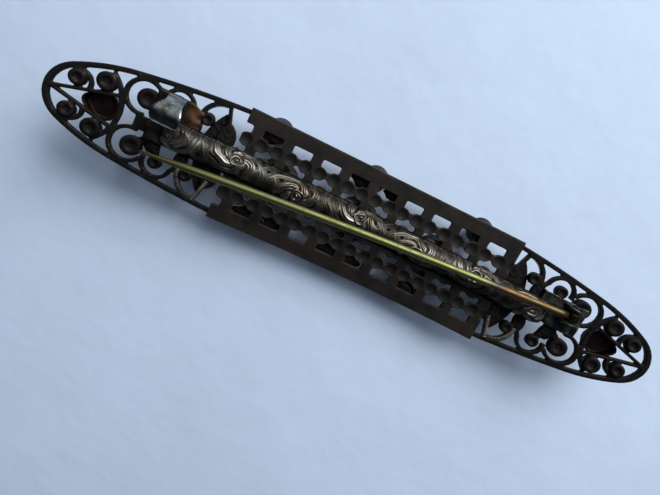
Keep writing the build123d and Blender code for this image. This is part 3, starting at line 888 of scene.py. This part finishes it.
def curled_tongue():
    """The catch: a sheet strip whose foot lies on the saddle, whose wall stands up and whose top curls over."""
    low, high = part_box("catch_hood")
    outer = (high.y - low.y) / 2 / MM
    reach = outer - TONGUE_SHEET / 2
    middle_y = (low.y + high.y) / 2 / MM
    curl_z = high.z / MM - outer
    left, right = low.x / MM, high.x / MM
    saddle_z = AXIS_Z - math.sqrt((BOW_RADIUS - GALLERY_BACK) ** 2 - ((left + right) / 2) ** 2)
    foot_z = saddle_z + TONGUE_SHEET / 2
    bpy.ops.mesh.primitive_grid_add(x_subdivisions=10, y_subdivisions=1, size=1, location=(0, 0, 0))
    tongue = taken("curled_catch_tongue")
    foot_y = middle_y - 0.9
    for vertex in tongue.data.vertices:
        across = foot_y if vertex.co.y < 0 else middle_y + reach - 0.45
        vertex.co = Vector((left + (right - left) * (vertex.co.x + 0.5), across, foot_z)) * MM
    edit(tongue)
    pick(tongue, lambda co, edge: edge.is_boundary and co.y > middle_y, "edges")
    bpy.ops.mesh.extrude_edges_move(TRANSFORM_OT_translate={"value": (0, 0.35 * MM, 0.12 * MM)})
    bpy.ops.mesh.extrude_edges_move(TRANSFORM_OT_translate={"value": (0, 0.1 * MM, 0.45 * MM)})
    for step in range(3):
        rise = (curl_z - foot_z - 0.57) / 3
        bpy.ops.mesh.extrude_edges_move(TRANSFORM_OT_translate={"value": (0, 0, rise * MM)})
    bpy.ops.mesh.spin(steps=16, angle=math.radians(-184), center=(0, middle_y * MM, curl_z * MM), axis=(1, 0, 0))
    done()
    waist = (right + left) / 2 + 0.55
    for vertex in tongue.data.vertices:
        co = vertex.co / MM
        turn = math.atan2(co.z - curl_z, co.y - middle_y)
        spread = smooth_share(turn, 0.35, 1.7) if co.z > curl_z - 0.05 else 0.0
        if co.z <= curl_z and co.y < middle_y - 0.5 * reach and co.z > foot_z + 1.5:
            spread = 1.0
        narrow = waist + (co.x - waist) * 0.6
        co.x = narrow + (co.x - narrow) * spread
        edge = abs(2 * (co.x - left) / (right - left) - 1)
        if turn > 2.2 or co.y < middle_y - 0.8 * reach and co.z > foot_z + 1.5:
            corner = smooth_share(edge, 0.45, 1.0) * smooth_share(abs(turn), 1.9, 3.1)
            co.x += (waist - co.x) * 0.2 * corner
            co.z += 0.5 * corner
        if co.z > curl_z and 0 < turn < math.pi:
            crest = math.sin(math.pi * (turn / math.pi) ** 1.5) ** 0.7
            co.z = curl_z + reach * (0.7 * math.sin(turn) + 0.3 * crest)
        lean = smooth_share(co.z, foot_z + 0.6, curl_z + 0.5 * reach)
        co.x += TONGUE_LEAN[0] * lean
        co.y += TONGUE_LEAN[1] * lean
        vertex.co = co * MM
    wall = tongue.modifiers.new("sheet", "SOLIDIFY")
    wall.thickness = TONGUE_SHEET * MM
    wall.offset = 0
    bpy.ops.object.modifier_apply(modifier="sheet")
    soft = tongue.modifiers.new("soft", "SUBSURF")
    soft.levels = 2
    soft.render_levels = 2
    bpy.ops.object.modifier_apply(modifier="soft")
    edit(tongue)
    turned_out()
    bpy.ops.object.shade_smooth()
    return tongue


class BARPIN_OT_catch(bpy.types.Operator):
    """Builds the saddle sheet and the curled tongue of the catch"""

    bl_idname = "bar_pin.catch"
    bl_label = "Catch"

    def execute(self, context):
        colours = context.scene.bar_pin_colours
        saddle = node_copy("left_saddle", "left_saddle_sheet")
        roughened(fused(saddle, [], 0.1, 6), 0.35, 1.6)
        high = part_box("left_saddle")[1]
        kept_y = high.y * 0.82
        for vertex in saddle.data.vertices:
            drawn_in = 1 - 0.5 * smooth_share(vertex.co.x / MM, SADDLE_NECK, high.x / MM)
            vertex.co.y = kept_y + (vertex.co.y - kept_y) * drawn_in
        # Painted shade: the saddle is darkened under the catch and fades out towards the stain.
        shades = [0.95 - 0.8 * smooth_share(v.co.x / MM, *SADDLE_STAIN) for v in saddle.data.vertices]
        marked(saddle, "hollow", shades)
        finished(saddle, "root", old_metal("torch_stained_brass", colours), "blackened_brass", "left_saddle")
        hood = curled_tongue()
        finished(hood, "root", old_metal("rubbed_nickel_silver", colours), "worn_nickel", "catch_hood")
        return {"FINISHED"}


class BARPIN_OT_hinge(bpy.types.Operator):
    """Builds the soldered hinge block with its peened rivet"""

    bl_idname = "bar_pin.hinge"
    bl_label = "Hinge"

    def execute(self, context):
        colours = context.scene.bar_pin_colours
        solder = old_metal("grey_tin_solder", colours)
        block = node_copy("hinge_plate", "soldered_hinge_block")
        roughened(fused(block, [], 0.07, 5), 0.22, 1.3)
        finished(block, "root", solder, "grey_solder", "hinge_plate")
        rivet = node_copy("hinge_rivet", "peened_hinge_rivet")
        fused(rivet, [], 0.05, 8)
        finished(rivet, "rivet", solder, "grey_solder", "hinge_rivet")
        return {"FINISHED"}


def pin_wire():
    """The wire, drawn out ring by ring from the eye and ground to a rounded point."""
    bpy.ops.mesh.primitive_cylinder_add(vertices=28, radius=WIRE_RADIUS * MM, depth=MM,
                                        location=(-(PIN_START + 0.5) * MM, 0, 0), rotation=(0, math.pi / 2, 0))
    wire = taken("drawn_pin_wire")
    straight = PIN_LENGTH - PIN_TAPER - PIN_START - 1
    rings, grinds = 30, 7
    rounding, rounding_run = ((0.07, 0.75), (0.05, 0.3)), 0.12
    cuts = [(straight / rings, WIRE_RADIUS)] * rings
    for step in range(1, grinds + 1):
        share = step / grinds
        cuts.append(((PIN_TAPER - rounding_run) / grinds, WIRE_RADIUS + (TIP_RADIUS - WIRE_RADIUS) * share))
    cuts += [(length, share * TIP_RADIUS) for length, share in rounding]
    edit(wire)
    pick(wire, lambda co, normal: normal.x < -0.9)
    before = WIRE_RADIUS
    for length, radius in cuts:
        bpy.ops.mesh.extrude_region_move(TRANSFORM_OT_translate={"value": (-length * MM, 0, 0)})
        size = radius / before
        bpy.ops.transform.resize(value=(1, size, size), center_override=(0, 0, 0))
        before = radius
    done()
    for vertex in wire.data.vertices:
        vertex.co.y -= PIN_BOW * MM * math.sin(math.pi * vertex.co.x / MM / PIN_LENGTH)
    low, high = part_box("hinge_rivet")
    swing = Matrix.Rotation(math.radians(PIN_SWING), 4, "Z")
    wire.data.transform(Matrix.Translation((low + high) / 2) @ swing)
    bpy.ops.object.shade_smooth()
    return wire


class BARPIN_OT_pin(bpy.types.Operator):
    """Builds the pin wire and the eye that turns on the rivet"""

    bl_idname = "bar_pin.pin"
    bl_label = "Pin"

    def execute(self, context):
        colours = context.scene.bar_pin_colours
        finished(pin_wire(), "pin", drawn_brass(colours), "bright_brass", "pin_stem")
        eye = node_copy("pin_knuckle", "turned_pin_eye")
        fused(eye, [], 0.05, 5)
        finished(eye, "pin", old_metal("oiled_turned_brass", colours), "dark_brass", "pin_knuckle")
        return {"FINISHED"}


def cut_stone(name, node, table_share, culet_share):
    """A round stone with kite and star facets, table down, in the place of its CAD node."""
    low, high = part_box(node)
    middle = (low + high) / 2
    radius = (high.x - low.x) / 2
    sides = 16
    crown = 1.0 * MM
    girdle = 0.3 * MM
    pavilion = high.z - low.z - crown - girdle
    here = Vector((middle.x, middle.y, low.z + crown + girdle / 2))
    bpy.ops.mesh.primitive_cylinder_add(vertices=sides, radius=radius, depth=girdle, location=here)
    stone = taken(name)
    half_step = math.pi / sides
    # Each cut: share of the radius that is left, share of the depth.
    stages = ((-1, ((0.86, 0.45), (table_share, 0.55))), (1, ((0.62, 0.55), (culet_share, 0.45))))
    edit(stone)
    for up, cuts in stages:
        pick(stone, lambda co, normal: normal.z * up > 0.9)
        before = 1.0
        depth = crown if up < 0 else pavilion
        for share, drop in cuts:
            bpy.ops.mesh.extrude_region_move(TRANSFORM_OT_translate={"value": (0, 0, up * drop * depth)})
            size = share / before
            bpy.ops.transform.resize(value=(size, size, 1), center_override=here)
            bpy.ops.transform.rotate(value=half_step, orient_axis="Z", center_override=here)
            before = share
    bpy.ops.mesh.select_all(action="SELECT")
    bpy.ops.mesh.quads_convert_to_tris(quad_method="SHORTEST_DIAGONAL", ngon_method="BEAUTY")
    turned_out()
    bpy.ops.object.shade_flat()
    return stone


def collet(name, node, claws, claw_mm):
    """A cup with grains raised round its mouth to hold the stone."""
    low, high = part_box(node)
    middle = (low + high) / 2
    radius = (high.x - low.x) / 2
    piece = node_copy(node, name)
    bpy.ops.mesh.primitive_uv_sphere_add(segments=10, ring_count=8, radius=claw_mm * MM, location=(0, 0, 0))
    grain = taken("claw")
    edit(grain)
    pick(grain, lambda co, normal: co.z < -0.3 * claw_mm, "verts")
    bpy.ops.transform.resize(value=(0.8, 0.8, 1), center_override=(0, 0, 0))
    done()
    extras = []
    for step in range(claws):
        angle = 2 * math.pi * step / claws
        out = radius - 0.85 * claw_mm * MM
        place = Vector((middle.x + out * math.cos(angle), middle.y + out * math.sin(angle), low.z))
        lean = Matrix.Rotation(angle, 4, "Z") @ Matrix.Diagonal((1.1, 0.8, 1.1, 1))
        extras.append(stamped(grain, Matrix.Translation(place) @ lean))
    drop(grain)
    return fused(piece, extras, 0.08, 2)


class BARPIN_OT_stones(bpy.types.Operator):
    """Builds the cut paste stones and the cups that hold them"""

    bl_idname = "bar_pin.stones"
    bl_label = "Stones and cups"

    def execute(self, context):
        colours = context.scene.bar_pin_colours
        claw_mm = context.scene.bar_pin_sizes.claw / MM
        glass = lead_glass(colours)
        metal = old_metal("grimy_spun_brass", colours)
        groups = (("large", 3, 12, 1.0, 0.66), ("small", 6, 8, 0.72, 0.61))
        for size, count, claws, claw_share, table in groups:
            for number in range(1, count + 1):
                stone = cut_stone(f"{size}_cut_paste_{number}", f"{size}_stone_{number}", table, 0.1)
                finished(stone, "root", glass, "clear_paste", f"{size}_stone_{number}")
                cup = collet(f"{size}_collet_{number}", f"{size}_cup_{number}", claws, claw_mm * claw_share)
                finished(cup, "root", metal, "blackened_cups", f"{size}_cup_{number}")
        return {"FINISHED"}


# ---- stage ----

WINDOW_PLACE = Vector((0.10, 0.26, 0.24))
WINDOW_SIZE = 0.26
WINDOW_POWER = 1.4
WINDOW_COLOUR = (0.96, 0.98, 1.0)
ROOM_STRENGTH = 0.74
CAMERA_PLACE = Vector((-12.17, 10.59, 81.45)) * MM
CAMERA_RIGHT = Vector((0.8986, 0.4387, 0.0139))
CAMERA_UP = Vector((-0.4242, 0.8762, -0.2289))
LENS = 27.78


def make_camera(scene):
    """A camera above the pin's back."""
    back = CAMERA_RIGHT.cross(CAMERA_UP).normalized()
    up = back.cross(CAMERA_RIGHT).normalized()
    right = up.cross(back)
    data = bpy.data.cameras.new("camera")
    data.lens = LENS
    data.clip_start = MM
    data.clip_end = 10
    camera = bpy.data.objects.new("camera", data)
    camera.matrix_world = Matrix.Translation(CAMERA_PLACE) @ Matrix((right, up, back)).transposed().to_4x4()
    scene.collection.objects.link(camera)
    scene.camera = camera


def make_window(scene):
    """Soft daylight from one side."""
    data = bpy.data.lights.new("window", "AREA")
    data.shape = "DISK"
    data.size = WINDOW_SIZE
    data.energy = WINDOW_POWER
    data.color = WINDOW_COLOUR
    lamp = bpy.data.objects.new("window", data)
    lamp.location = WINDOW_PLACE
    lamp.rotation_euler = (Vector((0, 0, 0.004)) - lamp.location).to_track_quat("-Z", "Y").to_euler()
    scene.collection.objects.link(lamp)


def make_room(scene):
    """A room with its window side bright and its far side dim."""
    world = bpy.data.worlds.new("room")
    scene.world = world
    world.use_nodes = True
    tree = world.node_tree
    place = add_node(tree, "TexCoord").outputs["Generated"]
    window_way = Vector((0.25, 0.75, 0.6)).normalized()
    way = add_node(tree, "VectorMath", {"operation": "DOT_PRODUCT"}, {0: place, 1: window_way})
    shade = add_node(tree, "ValToRGB", {}, {"Fac": way.outputs["Value"]},
                     [(0.3, (0.03, 0.035, 0.045)), (0.62, (0.16, 0.19, 0.24)),
                      (0.8, (0.8, 0.9, 1.06)), (0.97, (1.2, 1.3, 1.4))])
    fill(tree, tree.nodes["Background"], {"Color": shade.outputs["Color"], "Strength": ROOM_STRENGTH})


class BARPIN_OT_stage(bpy.types.Operator):
    """Lays the sheet of paper and sets up the daylight and the camera"""

    bl_idname = "bar_pin.stage"
    bl_label = "Stage"

    def execute(self, context):
        scene = context.scene
        make_camera(scene)
        make_room(scene)
        make_window(scene)
        bpy.ops.object.select_all(action="DESELECT")
        bpy.ops.mesh.primitive_plane_add(size=3, location=(0, 0, 0))
        paper = taken("paper")
        paper.data.materials.append(matt_paper(scene.bar_pin_colours))
        scene.view_settings.view_transform = "Standard"
        return {"FINISHED"}


class BARPIN_PT_pieces(bpy.types.Panel):
    bl_label = "Bar pin"
    bl_idname = "BARPIN_PT_pieces"
    bl_space_type = "VIEW_3D"
    bl_region_type = "UI"
    bl_category = "Bar pin"

    def draw(self, context):
        for operator in OPERATORS:
            self.layout.operator(operator.bl_idname)


OPERATORS = (
    BARPIN_OT_stage,
    BARPIN_OT_pin,
    BARPIN_OT_catch,
    BARPIN_OT_stones,
    BARPIN_OT_hinge,
    BARPIN_OT_bosses,
    BARPIN_OT_leaf_plates,
    BARPIN_OT_galleries,
    BARPIN_OT_back_bar,
    BARPIN_OT_end_frames,
)
CLASSES = (PinSizes, PinColours, *OPERATORS, BARPIN_PT_pieces)


def register():
    for made in CLASSES:
        bpy.utils.register_class(made)
    bpy.types.Scene.bar_pin_sizes = bpy.props.PointerProperty(type=PinSizes)
    bpy.types.Scene.bar_pin_colours = bpy.props.PointerProperty(type=PinColours)


def unregister():
    del bpy.types.Scene.bar_pin_colours
    del bpy.types.Scene.bar_pin_sizes
    for made in reversed(CLASSES):
        bpy.utils.unregister_class(made)


def main():
    register()
    for operator in OPERATORS:
        group, name = operator.bl_idname.split(".")
        getattr(getattr(bpy.ops, group), name)()


if __name__ == "__main__":
    main()
